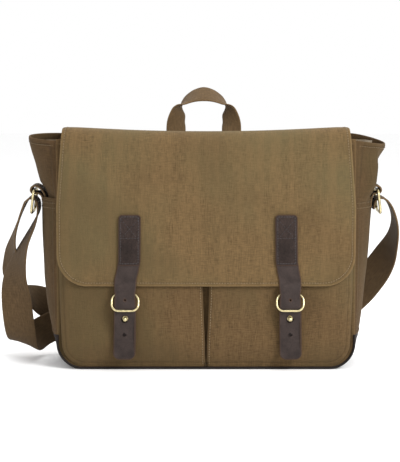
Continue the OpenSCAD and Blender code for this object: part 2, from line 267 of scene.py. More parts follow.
# washed canvas: plain weave, uneven yarns, streaks along the warp, blotches and pale worn edges, with painted
# shade along the stitch groove
def canvasMaterial(name, colour, hue, wear=0.5, seam=0.005):
    material, tree, shader = newMaterial(name)
    flat = flatMap(tree)
    warp, weft = (yarnWave(tree, flat, way, clothSettings["pitch"], 1.6, 2.0, 0.7) for way in ("X", "Y"))
    weave = maths(tree, "MULTIPLY", warp, weft)
    slubWarp = noiseOf(tree, scaled(tree, flat, (800, 80, 1)), 1, 3)
    slubWeft = noiseOf(tree, scaled(tree, flat, (120, 800, 1)), 1, 3)
    speck = maths(tree, "ADD", slubWarp, slubWeft)
    tint = noiseOf(tree, flat, 6, 2, 0.5)
    streak = noiseOf(tree, scaled(tree, flat, (80, 5, 1)), 1, 3, 0.6)
    blotch = noiseOf(tree, flat, 9, 2, 0.5, 0.4)
    base = mixColour(tree, remap(tree, speck, 0.72, 1.28), tinted(colour, 0.62), tinted(colour, 1.42))
    base = mixColour(tree, remap(tree, tint, 0.42, 0.6, 0, 0.6), base, hue)
    base = mixColour(tree, remap(tree, streak, 0.45, 0.6, 0, 0.3), base, tinted(colour, 1.4))
    base = mixColour(tree, remap(tree, blotch, 0.45, 0.66, 0, 0.45), base, tinted(colour, 0.7))
    base = shaded(tree, base, remap(tree, weave, 0.0, 0.75, 0.72, 1.12))
    gap = edgeGap(tree)
    rim = remap(tree, gap, 0.0014, 0.0, 0, wear)
    soft = noiseOf(tree, flat, 260, 2)
    rubbed = maths(tree, "MULTIPLY", rim, remap(tree, soft, 0.35, 0.7, 0.35, 1))
    base = mixColour(tree, rubbed, base, tinted(colour, 1.75))
    # painted shade: the cloth is darkened along the stitch groove, which lies seam in from the edge
    grooveShadeGap = maths(tree, "ABSOLUTE", maths(tree, "SUBTRACT", gap, seam), 0)
    base = mixColour(tree, remap(tree, grooveShadeGap, 0.0, 0.0014, 0.45, 0), base, tinted(colour, 0.45))
    height = maths(tree, "ADD", weave, maths(tree, "MULTIPLY", speck, 0.8))
    finish(tree, shader, base, height, clothSettings["yarnDepth"], 0.75)
    roughness, sheen = clothSettings["roughness"], clothSettings["sheen"]
    setSurface(shader, roughness=roughness, sheen=sheen, sheenRoughness=0.45, gloss=0.1)
    shader.inputs["Sheen Tint"].default_value = clothSettings["sheenTint"]
    return material


webbingSettings = {"ribPitch": 0.0013, "weftPitch": 0.0019, "depth": 0.0004}


# webbing: fine ribs along its length, crossed by a thick weft
def webbingMaterial(name, colour):
    material, tree, shader = newMaterial(name)
    flat = flatMap(tree)
    rib = yarnWave(tree, flat, "X", webbingSettings["ribPitch"], 0.5)
    weft = yarnWave(tree, flat, "Y", webbingSettings["weftPitch"], 0.8)
    weave = maths(tree, "MULTIPLY", rib, remap(tree, weft, 0, 1, 0.45, 1))
    yarn = noiseOf(tree, scaled(tree, flat, (700, 130, 1)), 1, 3)
    blotch = noiseOf(tree, flat, 24, 4)
    base = mixColour(tree, remap(tree, yarn, 0.3, 0.7), tinted(colour, 0.72), tinted(colour, 1.22))
    base = mixColour(tree, remap(tree, blotch, 0.42, 0.7, 0, 0.35), base, tinted(colour, 0.75))
    base = shaded(tree, base, remap(tree, weave, 0, 0.8, 0.66, 1.1))
    rim = remap(tree, edgeGap(tree), 0.0016, 0.0, 0, 0.35)
    base = mixColour(tree, rim, base, tinted(colour, 1.6))
    finish(tree, shader, base, weave, webbingSettings["depth"], 0.8)
    setSurface(shader, roughness=0.85, sheen=0.06, sheenRoughness=0.5, gloss=0.12)
    return material


leatherSettings = {"pebbles": 780.0, "depth": 0.00035, "rawEdge": (0.050, 0.028, 0.018)}


# oiled leather: pebbled grain, pull-up patches and raw edges
def leatherMaterial(name, colour, grain, roughness, useFlat=True):
    material, tree, shader = newMaterial(name)
    source = flatMap(tree) if useFlat else addNode(tree, "ShaderNodeTexCoord").outputs["Object"]
    inputs = {"Vector": source, "Scale": leatherSettings["pebbles"], "Randomness": 0.95}
    pebble = addNode(tree, "ShaderNodeTexVoronoi", inputs, feature="SMOOTH_F1").outputs["Distance"]
    crease = noiseOf(tree, source, 320, 4, 0.65, 0.6)
    patch = noiseOf(tree, source, 42, 4, 0.6, 0.5)
    base = mixColour(tree, remap(tree, patch, 0.34, 0.7), tinted(colour, 0.72), tinted(colour, 1.45))
    base = shaded(tree, base, remap(tree, pebble, 0.15, 0.75, 1.0, 1 - 0.55 * grain))
    if useFlat:
        rim = remap(tree, edgeGap(tree), 0.0007, 0.0, 0, 0.7)
        base = mixColour(tree, rim, base, leatherSettings["rawEdge"])
    height = maths(tree, "ADD", maths(tree, "MULTIPLY", pebble, -1.0), crease)
    finish(tree, shader, base, height, leatherSettings["depth"], 0.25 + 0.5 * grain)
    varied = remap(tree, crease, 0.3, 0.7, roughness - 0.08, roughness + 0.12)
    tree.links.new(varied, shader.inputs["Roughness"])
    setSurface(shader, gloss=0.09)
    return material


# brass that has been tumbled and darkened in its hollows
def brassMaterial(name, colour, roughness):
    material, tree, shader = newMaterial(name)
    source = addNode(tree, "ShaderNodeTexCoord").outputs["Object"]
    tarnish = noiseOf(tree, source, 210, 4, 0.65)
    scratch = noiseOf(tree, source, 1500, 2, 0.5)
    base = mixColour(tree, remap(tree, tarnish, 0.42, 0.74, 0, 0.8), colour, tinted(colour, 0.42))
    finish(tree, shader, base, maths(tree, "ADD", tarnish, scratch), 0.0001, 0.3)
    varied = remap(tree, scratch, 0.3, 0.7, roughness - 0.07, roughness + 0.12)
    tree.links.new(varied, shader.inputs["Roughness"])
    shader.inputs["Metallic"].default_value = 1.0
    return material


def plainCloth(name, colour, pitch, roughness=0.9):
    material, tree, shader = newMaterial(name)
    flat = flatMap(tree)
    warp, weft = (yarnWave(tree, flat, way, pitch, 0.7) for way in ("X", "Y"))
    weave = maths(tree, "MULTIPLY", warp, weft)
    blotch = noiseOf(tree, flat, 30, 4)
    base = mixColour(tree, remap(tree, weave, 0, 0.8), tinted(colour, 0.78), tinted(colour, 1.12))
    base = mixColour(tree, remap(tree, blotch, 0.4, 0.7, 0, 0.3), base, tinted(colour, 0.8))
    finish(tree, shader, base, weave, 0.0002, 0.6)
    setSurface(shader, roughness=roughness, sheen=0.15, gloss=0.2)
    return material


def threadMaterial(name, colour):
    material, tree, shader = newMaterial(name)
    source = addNode(tree, "ShaderNodeTexCoord").outputs["Object"]
    twist = noiseOf(tree, source, 2400, 2)
    base = mixColour(tree, twist, tinted(colour, 0.7), tinted(colour, 1.25))
    finish(tree, shader, base, twist, 0.0001, 0.5)
    setSurface(shader, roughness=0.7, sheen=0.2)
    return material


finishes = {
    "flap": canvasMaterial("flapCanvas", (0.116, 0.073, 0.032), (0.099, 0.081, 0.037), 0.4, 0.0032),
    "pocket": canvasMaterial("pocketCanvas", (0.097, 0.059, 0.026), (0.086, 0.066, 0.029), 0.15),
    # painted shade: the back, gussets and side pockets use a darker copy of the canvas, which stands in for
    # the shade on the sides turned from the light
    "side": canvasMaterial("sideCanvasPaintedShade", (0.070, 0.040, 0.0185), (0.063, 0.045, 0.019), 0.15),
    "webbing": webbingMaterial("strapWebbing", (0.085, 0.052, 0.024)),
    "handle": webbingMaterial("handleWebbing", (0.105, 0.065, 0.030)),
    "leather": leatherMaterial("strapLeather", (0.031, 0.0225, 0.0200), 0.35, 0.46),
    "patch": leatherMaterial("patchLeather", (0.029, 0.0195, 0.0165), 0.95, 0.6),
    "trim": leatherMaterial("trimLeather", (0.013, 0.010, 0.009), 0.5, 0.5, useFlat=False),
    "brass": brassMaterial("oldBrass", (0.62, 0.53, 0.30), 0.3),
    "lining": plainCloth("liningCotton", (0.145, 0.105, 0.060), 0.0007),
    "divider": plainCloth("dividerCloth", (0.120, 0.085, 0.050), 0.0009),
    "board": plainCloth("boardCover", (0.05, 0.045, 0.04), 0.001, 0.6),
    "canvasThread": threadMaterial("tanThread", (0.150, 0.098, 0.040)),
    "leatherThread": threadMaterial("plumThread", (0.010, 0.006, 0.007)),
}
print("materials made")


# ---- mesh helpers ----


def smoothLine(points, step):
    points = np.array(points, float)
    padded = np.vstack([2 * points[0] - points[1], points, 2 * points[-1] - points[-2]])
    shares = np.linspace(0, 1, 24, endpoint=False)[:, None]
    runs = []
    for a, b, c, d in zip(padded, padded[1:], padded[2:], padded[3:]):
        squared = (2 * a - 5 * b + 4 * c - d) * shares**2
        cubed = (3 * b - a - 3 * c + d) * shares**3
        runs.append(0.5 * (2 * b + (c - a) * shares + squared + cubed))
    return evenLine(np.vstack([*runs, points[-1:]]), step)


def lengthsAlong(points):
    return np.concatenate([[0], np.cumsum(np.linalg.norm(np.diff(points[:, :3], axis=0), axis=1))])


def evenLine(points, step):
    along = lengthsAlong(points)
    count = max(2, int(round(along[-1] / step)) + 1)
    places = np.linspace(0, along[-1], count)
    return np.stack([np.interp(places, along, points[:, k]) for k in range(points.shape[1])], 1)


# the two moving columns of a line at the distances b along it
def lineAt(line, along, b):
    return np.interp(b, along, line[:, 0]), np.interp(b, along, line[:, 2])


def arcPoints(centre, radius, start, end, count=9):
    turns = np.radians(np.linspace(start, end, count))
    return [(centre[0] + radius * math.cos(t), centre[1] + radius * math.sin(t)) for t in turns]


# gentle unevenness that is the same on each run
def ripple(a, b, seed, size):
    draw = np.random.default_rng(seed)
    total = 0
    waves = 6
    for _ in range(waves):
        turn, phase = draw.uniform(0, 2 * math.pi, 2)
        pace = draw.uniform(0.6, 1.6) * 2 * math.pi / size
        total = total + np.sin((a * math.cos(turn) + b * math.sin(turn)) * pace + phase)
    return total / waves


chunk = 2000  # points measured at once
tiny = 1e-12


# distance from a closed outline, positive inside it
def edgeDistance(points, loop):
    side = np.roll(loop, -1, 0) - loop
    gaps = np.empty(len(points))
    for first in range(0, len(points), chunk):
        part = points[first : first + chunk]
        offset = part[:, None, :] - loop[None]
        share = np.clip((offset * side).sum(-1) / ((side**2).sum(-1) + tiny), 0, 1)
        near = np.sqrt(((offset - share[..., None] * side) ** 2).sum(-1)).min(1)
        y = part[:, 1:2]
        spans = (loop[:, 1] > y) != (loop[:, 1] + side[:, 1] > y)
        crossing = loop[:, 0] + side[:, 0] * (y - loop[:, 1]) / (side[:, 1] + tiny)
        inside = (spans & (part[:, 0:1] < crossing)).sum(1) % 2 == 1
        gaps[first : first + chunk] = np.where(inside, near, -near)
    return gaps


def rectangle(left, low, right, high):
    return [(left, low), (right, low), (right, high), (left, high)]


def rowAt(level, start, end, count):
    return [(a, level) for a in np.linspace(start, end, count)]


def divideLoop(loop, step):
    loop = np.array(loop, float)
    points = []
    for start, end in zip(loop, np.roll(loop, -1, 0)):
        count = max(1, math.ceil(np.linalg.norm(end - start) / step))
        points += [start + (end - start) * k / count for k in range(count)]
    return np.array(points)


def loopInward(loop):
    along = np.roll(loop, -1, 0) - np.roll(loop, 1, 0)
    along /= np.linalg.norm(along, axis=1)[:, None] + tiny
    return np.stack([-along[:, 1], along[:, 0]], 1)


def normalsOf(place, flat):
    reach = 0.4
    a, b = flat[:, 0], flat[:, 1]
    right = place(a + reach, b) - place(a - reach, b)
    up = place(a, b + reach) - place(a, b - reach)
    normal = np.cross(right, up)
    return normal / (np.linalg.norm(normal, axis=1)[:, None] + tiny)


def onSurface(place, flat, lift):
    flat = np.array(flat, float)
    return place(flat[:, 0], flat[:, 1]) + normalsOf(place, flat) * lift


# edge is each point's distance from the piece's edge, which the materials read
def makeMesh(name, points, faces, flat, edge, material):
    mesh = bpy.data.meshes.new(name)
    mesh.from_pydata((points * milli).tolist(), [], faces)
    layer = mesh.uv_layers.new(name="flat")
    corners = np.empty(len(mesh.loops), np.int32)
    mesh.loops.foreach_get("vertex_index", corners)
    layer.data.foreach_set("uv", (flat[corners] * milli).astype(np.float32).ravel())
    gaps = mesh.attributes.new("edge", "FLOAT", "POINT")
    gaps.data.foreach_set("value", (edge * milli).astype(np.float32))
    mesh.polygons.foreach_set("use_smooth", np.ones(len(faces), bool))
    mesh.materials.append(finishes[material])
    mesh.update()
    piece = bpy.data.objects.new(name, mesh)
    bpy.context.collection.objects.link(piece)
    return piece


# A piece cut from a flat pattern and laid on place(a, b), with a turned edge all round.
def cutPiece(name, loop, place, thick, material, grid=6, step=4, bands=(0.9, 2.2, 3.6, 4.5, 5, 5.5, 6.6, 9),
             relief=None, holes=(), rimSteps=3):
    loop = divideLoop(loop, step)
    rings = [divideLoop(hole, step)[::-1] for hole in holes]
    sets = [loop, *rings]
    for gap in bands:
        moved = loop + loopInward(loop) * gap
        sets.append(moved[edgeDistance(moved, loop) > gap - 0.2])
    low, high = loop.min(0), loop.max(0)
    xs = np.arange(low[0] + grid / 2, high[0], grid)
    ys = np.arange(low[1] + grid / 2, high[1], grid)
    mesh = np.stack(np.meshgrid(xs, ys), -1).reshape(-1, 2)
    clear = bands[-1] + grid * 0.45
    sets.append(mesh[edgeDistance(mesh, loop) > clear])
    for ring in rings:
        sets[2:] = [s if s is ring else s[edgeDistance(s, ring) < -0.5] for s in sets[2:]]
        sets.append(ring + loopInward(ring) * 0.8)
    points = np.vstack(sets)
    edges = [(k, (k + 1) % len(loop)) for k in range(len(loop))]
    first = len(loop)
    for ring in rings:
        edges += [(first + k, first + (k + 1) % len(ring)) for k in range(len(ring))]
        first += len(ring)
    found = delaunay_2d_cdt([tuple(p) for p in points], edges, [], 0, 1e-5)
    flat = np.array([tuple(p) for p in found[0]])
    newIndex = {old: new for new, olds in enumerate(found[3]) for old in olds}
    tris = np.array([f for f in found[2] if len(f) == 3])
    middle = flat[tris].mean(1)
    keep = edgeDistance(middle, loop) > 0
    for ring in rings:
        keep &= edgeDistance(middle, ring) < 0
    tris = tris[keep]
    sides = flat[tris]
    spin = np.cross(sides[:, 1] - sides[:, 0], sides[:, 2] - sides[:, 0])
    tris = tris[np.abs(spin) > 1e-7]
    spin = spin[np.abs(spin) > 1e-7]
    tris[spin < 0] = tris[spin < 0][:, ::-1]
    used = np.unique(tris)
    renumber = np.full(len(flat), -1)
    renumber[used] = np.arange(len(used))
    flat = flat[used]
    tris = renumber[tris]
    edge = np.abs(edgeDistance(flat, loop))
    for ring in rings:
        edge = np.minimum(edge, np.abs(edgeDistance(flat, ring)))
    normal = normalsOf(place, flat)
    middlePoints = place(flat[:, 0], flat[:, 1])
    outer = middlePoints + normal * (relief(edge, flat)[:, None] if relief else 0)
    inner = middlePoints - normal * thick
    count = len(flat)
    allPoints, allFlat, allEdge = [outer, inner], [flat, flat], [edge, edge]
    faces = (tris[:, ::-1] + count).tolist() + tris.tolist()
    total = 2 * count
    start = 0
    for ring in (loop, *rings):
        index = [renumber[newIndex[start + k]] for k in range(len(ring))]
        start += len(ring)
        rimNormal = normal[index]
        along = np.roll(outer[index], -1, 0) - np.roll(outer[index], 1, 0)
        out = np.cross(along, rimNormal)
        out /= np.linalg.norm(out, axis=1)[:, None] + tiny
        top, bottom = outer[index], inner[index]
        centre, half = (top + bottom) / 2, np.linalg.norm(top - bottom, axis=1)[:, None] / 2
        rows = [np.array(index)]
        for turn in np.linspace(0, math.pi, rimSteps + 2)[1:-1]:
            allPoints.append(centre + rimNormal * half * math.cos(turn) + out * half * math.sin(turn) * 0.8)
            allFlat.append(ring - loopInward(ring) * thick * turn / math.pi)
            allEdge.append(np.zeros(len(ring)))
            rows.append(np.arange(total, total + len(ring)))
            total += len(ring)
        rows.append(np.array(index) + count)
        for upper, lower in zip(rows, rows[1:]):
            quads = np.stack([upper, lower, np.roll(lower, -1), np.roll(upper, -1)], 1)
            faces += quads.tolist()
    return makeMesh(name, np.vstack(allPoints), faces, np.vstack(allFlat), np.concatenate(allEdge), material)


# hem that is a little raised and drawn in along its stitches
def hemRelief(stitch=5.0, puff=0.35, dent=0.4):
    def relief(edge, flat):
        raised = puff * np.exp(-((edge - stitch / 2) / 1.8) ** 2)
        pucker = 1 + 0.35 * np.sin(flat[:, 0] * 1.1) * np.sin(flat[:, 1] * 1.1)
        return raised - dent * pucker * np.exp(-((edge - stitch) / 0.9) ** 2)

    return relief


selvedge = {"inset": 3, "depth": 0.18}  # groove beside each edge of a band


# a flat band swept along a line, its width turned by across
def bandPiece(name, centre, across, width, thick, material):
    along = np.gradient(centre, axis=0)
    along /= np.linalg.norm(along, axis=1)[:, None]
    across = across - (across * along).sum(1)[:, None] * along
    across /= np.linalg.norm(across, axis=1)[:, None]
    up = np.cross(along, across)
    span = np.linspace(-1, 1, 13)
    section = [(u * (1 - thick / width), 1.0) for u in span]
    section += [(1.0, 0.5), (1.0, -0.5)]
    section += [(u * (1 - thick / width), -1.0) for u in span[::-1]]
    section += [(-1.0, -0.5), (-1.0, 0.5)]
    distance = lengthsAlong(centre)
    rows, flats, edges = [], [], []
    for u, v in section:
        groove = selvedge["depth"] * math.exp(-((abs(u) * width / 2 - width / 2 + selvedge["inset"]) ** 2))
        lift = v * (thick / 2 - groove)
        rows.append(centre + across * (u * width / 2) + up * lift)
        flats.append(np.stack([np.full(len(centre), u * width / 2), distance], 1))
        edges.append(np.full(len(centre), (1 - abs(u)) * width / 2))
    count, sides = len(centre), len(section)
    points = np.stack(rows, 1).reshape(-1, 3)
    flat = np.stack(flats, 1).reshape(-1, 2)
    edge = np.stack(edges, 1).reshape(-1)
    faces = []
    for k in range(count - 1):
        for j in range(sides):
            a, b = k * sides + j, k * sides + (j + 1) % sides
            faces.append((a, a + sides, b + sides, b))
    faces.append(tuple(range(sides)))
    faces.append(tuple((count - 1) * sides + j for j in range(sides))[::-1])
    return makeMesh(name, points, faces, flat, edge, material)


# ---- stitches ----

seams = {}


# motion is ("ride", body) or ("blend", bodyA, bodyB, start, end)
def sew(line, motion, thread="canvasThread"):
    seams.setdefault((motion, thread), []).append(np.array(line, float))


def sewOn(place, line, lift, motion, thread="canvasThread"):
    sew(onSurface(place, line, lift), motion, thread)


stitchSettings = {
    "pitch": 3.3,
    "length": 2.3,
    "width": 0.95,
    "thick": 0.7,
}


def stitchTree(thread):
    tree = bpy.data.node_groups.new("stitches_" + thread, "GeometryNodeTree")
    sockets = tree.interface
    sockets.new_socket("Geometry", in_out="INPUT", socket_type="NodeSocketGeometry")
    for name in ("Pitch", "Length", "Width", "Thick"):
        sockets.new_socket(name, in_out="INPUT", socket_type="NodeSocketFloat")
    sockets.new_socket("Geometry", in_out="OUTPUT", socket_type="NodeSocketGeometry")
    inputs = tree.nodes.new("NodeGroupInput").outputs
    output = tree.nodes.new("NodeGroupOutput")
    curve = addNode(tree, "GeometryNodeMeshToCurve", {"Mesh": inputs["Geometry"]})
    spaced = {"Curve": curve.outputs[0], "Length": inputs["Pitch"]}
    points = addNode(tree, "GeometryNodeCurveToPoints", spaced, mode="LENGTH")
    bead = addNode(tree, "GeometryNodeMeshUVSphere", {"Segments": 6, "Rings": 4, "Radius": 0.5})
    sides = {"X": inputs["Width"], "Y": inputs["Thick"], "Z": inputs["Length"]}
    size = addNode(tree, "ShaderNodeCombineXYZ", sides)
    stretched = {"Geometry": bead.outputs["Mesh"], "Scale": size.outputs[0]}
    shaped = addNode(tree, "GeometryNodeTransform", stretched)
    smooth = addNode(tree, "GeometryNodeSetShadeSmooth", {"Geometry": shaped.outputs[0]})
    stations = {"Points": points.outputs["Points"], "Rotation": points.outputs["Rotation"]}
    placed = addNode(tree, "GeometryNodeInstanceOnPoints", {**stations, "Instance": smooth.outputs[0]})
    real = addNode(tree, "GeometryNodeRealizeInstances", {"Geometry": placed.outputs[0]})
    paint = {"Geometry": real.outputs[0], "Material": finishes[thread]}
    painted = addNode(tree, "GeometryNodeSetMaterial", paint)
    tree.links.new(painted.outputs[0], output.inputs[0])
    return tree


def setInput(modifier, name, value):
    for item in modifier.node_group.interface.items_tree:
        if item.name == name and item.in_out == "INPUT":
            modifier[item.identifier] = value


def makeStitches():
    trees = {thread: stitchTree(thread) for thread in ("canvasThread", "leatherThread")}
    for number, ((motion, thread), lines) in enumerate(seams.items()):
        points, edges = [], []
        for line in lines:
            first = sum(len(p) for p in points)
            points.append(line)
            edges += [(first + k, first + k + 1) for k in range(len(line) - 1)]
        mesh = bpy.data.meshes.new("seamLines")
        mesh.from_pydata((np.vstack(points) * milli).tolist(), edges, [])
        lineObject = bpy.data.objects.new("seamLines", mesh)
        bpy.context.collection.objects.link(lineObject)
        modifier = lineObject.modifiers.new("stitches", "NODES")
        modifier.node_group = trees[thread]
        for name, key in (("Pitch", "pitch"), ("Length", "length"), ("Width", "width"), ("Thick", "thick")):
            setInput(modifier, name, stitchSettings[key] * milli)
        view = bpy.context.evaluated_depsgraph_get()
        baked = bpy.data.meshes.new_from_object(lineObject.evaluated_get(view))
        bpy.data.objects.remove(lineObject)
        body = motion[1] if motion[0] == "ride" else motion[2]
        piece = bpy.data.objects.new(f"stitches_{body}_{number}", baked)
        bpy.context.collection.objects.link(piece)
        move(piece, motion)
        print("  stitches", piece.name, len(baked.polygons))


def move(piece, motion):
    if motion[0] == "ride":
        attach(piece, motion[1])
    else:
        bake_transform(piece)


root = ("ride", "root")
flapMotion = ("blend", "flap_over", "flap_drop", (0, -0.030, 0.2915), (0, -0.0535, 0.268))
flangeMotion = ("blend", "root", "flap_over", (0, 0.0415, 0.2835), (0, 0.033, 0.2895))
handleMotion = ("blend", "root", "handle_loop", (0, 0.042, 0.284), (0, 0.042, 0.296))


# ---- shoulder strap ----

# place of the webbing's middle and the direction of its width, from the right ring to the slider
strapRoute = [
    ((207.5, 0, 194), (0, 1, 0)), ((210.5, 0, 206), (0, 1, 0)), ((221, 1, 206.5), (0, 1, 0)),
    ((231, 4, 195), (0, 1, 0)), ((237, 9, 174), (-0.08, 1, 0)), ((235, 17, 151), (-0.3, 0.95, 0.05)),
    ((226, 28, 127), (-0.65, 0.7, 0.25)), ((212, 40, 102), (-0.75, 0.3, 0.55)),
    ((192, 53, 75), (-0.6, 0, 0.8)), ((160, 59, 50), (-0.35, 0, 0.95)), ((114, 62, 29), (-0.15, 0, 1)),
    ((60, 64, 20.5), (0, 0, 1)), ((2, 66, 20), (0, 0, 1)), ((-37, 74, 20), (0, 0, 1)),
    ((-41, 92, 20), (0, 0, 1)), ((-10, 100, 20), (0, 0, 1)), ((38, 102, 20), (0, 0, 1)),
    ((70.5, 112, 20), (0, 0, 1)), ((68.5, 130, 20), (0, 0, 1)), ((32, 136, 20), (0, 0, 1)),
    ((-28, 128, 20), (0, 0, 1)), ((-84, 104, 21), (0, 0, 1)), ((-134, 72, 31), (0, 0, 1)),
    ((-178, 58, 40), (-0.1, 0, 1)), ((-207, 45, 32), (-0.4, 0, 0.9)), ((-223, 29, 22), (-0.85, 0, 0.5)),
    ((-230, 12, 22), (-0.95, 0, 0.35)), ((-233, -3, 41), (-1, 0, 0.15)), ((-236.5, -6, 75), (-1, 0.1, 0)),
    ((-238, -6, 108), (-0.8, 0.6, 0)), ((-228, -4, 144), (-0.4, 0.9, -0.1)),
    ((-214, -2, 174), (-0.15, 1, 0)), ((-208, 0, 193), (0, 1, 0)), ((-210.5, 0, 205.5), (0, 1, 0)),
    ((-221, 1, 205), (0, 1, 0)), ((-232, 8, 183), (-0.05, 1, 0)), ((-241, 21, 155), (-0.2, 1, 0)),
    ((-246, 34, 124), (-0.6, 0.8, 0.1)), ((-242, 47, 92), (-0.8, 0.4, 0.4)),
    ((-208, 62, 66), (-0.4, 0.1, 0.9)), ((-168, 67, 48), (-0.1, 0, 1)), ((-126, 66, 41), (0, 0, 1)),
]
strapSettings = {"width": 38, "thick": 2.3, "step": 5, "length": 1.392}


def makeShoulderStrap():
    line = smoothLine([(*place, *width) for place, width in strapRoute], strapSettings["step"])
    width = strapSettings["width"]
    strap = bandPiece("shoulderStrap", line[:, :3], line[:, 3:], width, strapSettings["thick"], "webbing")
    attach(strap, "root")
    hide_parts("shoulder_strap")
    print("shoulder strap made")


makeShoulderStrap()


# ---- body ----


def frontFace(z):
    return -bag["baseHalf"] + z * bag["leanSlope"]


def panelLoop(half, low, high, radius):
    right = arcPoints((half - radius, low + radius), radius, -90, 0)
    left = arcPoints((radius - half, low + radius), radius, 180, 270)
    return [*left, *right, (half, high), (-half, high)]


# how much the top edge of the back and the flap sags between its corners
def topSag(x):
    return 5.4 * np.clip(1 - (np.abs(x) / 172) ** 2.2, 0, 1) ** 1.3


panelSettings = {
    "low": 1,
    "frontBelly": 1.6,
    "backBelly": 2.1,
    "sagFrom": 200,  # height from which the back gives way to the sag of its top edge
    "seamGap": 5,
    "end": 4,  # bare cloth at each end of a seam
}


def makePanels():
    half, mouth = bag["halfWidth"], bag["mouth"]
    low, gap, end = (panelSettings[key] for key in ("low", "seamGap", "end"))

    def frontPlace(a, b):
        across = np.cos(np.clip(a / half, -1, 1) * math.pi / 2)
        belly = panelSettings["frontBelly"] * across * np.sin(np.clip(b / mouth, 0, 1) * math.pi)
        return np.stack([a, frontFace(b) - belly + 0.5 * ripple(a, b, 3, 120), b], 1)

    loop = panelLoop(half, low, mouth, bag["cornerRadius"])
    panel = cutPiece("frontPanel", loop, frontPlace, bag["clothThick"], "pocket", grid=9, relief=hemRelief())
    move(panel, root)
    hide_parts("front_panel")
    sewOn(frontPlace, rowAt(mouth - gap, end - half, half - end, 90), 0.15, root)

    backTop = boxOf("back_panel")[1][2]
    sagFrom = panelSettings["sagFrom"]

    def backPlace(a, b):
        x = -a
        level = np.where(b > sagFrom, b - topSag(x) * np.clip((b - sagFrom) / 80, 0, 1), b)
        across = np.cos(np.clip(x / half, -1, 1) * math.pi / 2) ** 0.7
        belly = panelSettings["backBelly"] * across * np.sin(np.clip(b / 288, 0, 1) * math.pi) ** 0.8
        return np.stack([x, -frontFace(level) + belly + 0.7 * ripple(x, b, 8, 130), level], 1)

    loop = panelLoop(half, low, backTop - 2.5, bag["cornerRadius"])
    panel = cutPiece("backPanel", loop, backPlace, bag["clothThick"], "side", grid=8, relief=hemRelief())
    move(panel, root)
    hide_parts("back_panel")
    inset = panelLoop(half - gap, low + gap, backTop - gap, bag["cornerRadius"] - gap)
    sewOn(backPlace, divideLoop(inset, 4), 0.15, root)


# by height: how far the gusset and its pocket stand out past the seam, and the roll of cloth near the front
sideSettings = {
    "left": {
        "bulge": [(38, 7.5), (75, 12), (110, 13), (190, 13.5), (209, 14.5), (218, 18), (227, 24.5), (239, 28),
                  (251, 31), (263, 35), (274, 38), (281, 38.5)],
        "pocket": [(40, 9), (75, 15.5), (110, 19.5), (160, 21), (209, 21.5)],
        "fold": [(0, 0), (300, 0)],
        "drop": -1.2,  # how far the middle of the top edge hangs
        "seed": 21,
    },
    "right": {
        "bulge": [(38, 7.5), (75, 11.5), (110, 13), (190, 16), (209, 18), (226, 20), (240, 25), (262, 34),
                  (274, 40.5), (281, 41)],
        "pocket": [(40, 8.5), (75, 13.5), (110, 17.5), (160, 21.5), (209, 24.5)],
        "fold": [(150, 0), (190, 4), (209, 8), (216, 13), (226, 16.5), (240, 15), (251, 13), (263, 8),
                 (281, 1)],
        "drop": 7.8,
        "seed": 33,
    },
}
sideShape = {
    "width": 104,
    "low": 40.5,
    "pocketLow": 40.8,
    "top": 281.0,
    "inset": 2.2,
    "mouth": 70,  # height of the part that the drop and the lean bend
    "lean": 2.0,
    "foldAt": 0.17,  # share of the width
    "foldSpread": 0.085,
    "pocketGrow": 1.6,
}


def sidePlace(side, table, grow, seed, drop=0.0, lean=0.0, fold=((0, 0), (300, 0))):
    sign = -1 if side == "left" else 1
    heights, bulges = zip(*table)
    foldHeights, folds = zip(*fold)
    top, mouth = sideShape["top"], sideShape["mouth"]

    # a runs round the side from its right-hand seam as seen from outside
    def place(a, b):
        share = np.clip(a / sideShape["width"], -0.02, 1.02)
        share = share if sign > 0 else 1 - share
        around = np.clip(share, 0, 1) * math.pi
        rise = np.clip((b - top + mouth) / mouth, 0, 1) ** 2
        level = b - rise * (drop * np.sin(around) + lean * (1.5 * np.cos(around) - 0.5))
        half = bag["baseHalf"] - level * bag["leanSlope"] - sideShape["inset"]
        swell = np.interp(b, heights, bulges) * np.abs(np.sin(around)) ** 0.75
        roll = np.exp(-(((share - sideShape["foldAt"]) / sideShape["foldSpread"]) ** 2))
        swell = swell + np.interp(b, foldHeights, folds) * roll
        wrinkle = 0.9 * ripple(a * 1.2, b * 0.6, seed, 60) * np.sin(around)
        x = bag["halfWidth"] - 1 + grow + swell + wrinkle
        return np.stack([sign * x, -half + 2 * half * share, level], 1)

    return place


def makeSides():
    width, low, top, pocketLow = (sideShape[key] for key in ("width", "low", "top", "pocketLow"))
    pocketTop = bag["sidePocketTop"]
    for side, settings in sideSettings.items():
        seed, drop, fold = settings["seed"], settings["drop"], settings["fold"]
        place = sidePlace(side, settings["bulge"], 0, seed, drop, sideShape["lean"], fold)
        loop = rectangle(0, low, width, top)
        gusset = cutPiece(f"gusset_{side}_cloth", loop, place, bag["clothThick"], "side", grid=5,
                          relief=hemRelief(6, 0.5, 0.45))
        move(gusset, root)
        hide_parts(f"gusset_{side}")
        sewOn(place, rowAt(top - 6, 3, width - 3, 40), 0.2, root)

        place = sidePlace(side, settings["pocket"], sideShape["pocketGrow"], seed + 1)
        loop = rectangle(0, pocketLow, width, pocketTop)
        relief = hemRelief(6, 0.6, 0.4)
        pocket = cutPiece(f"sidePocket_{side}_cloth", loop, place, 1.4, "side", grid=5, relief=relief)
        move(pocket, root)
        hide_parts(f"side_pocket_{side}")
        for gap in (6, 12):
            sewOn(place, rowAt(pocketTop - gap, 2, width - 2, 40), 0.2, root)


stripSettings = {"thick": 2.0, "inset": 1.6, "swell": 7.5, "hem": 3.5}


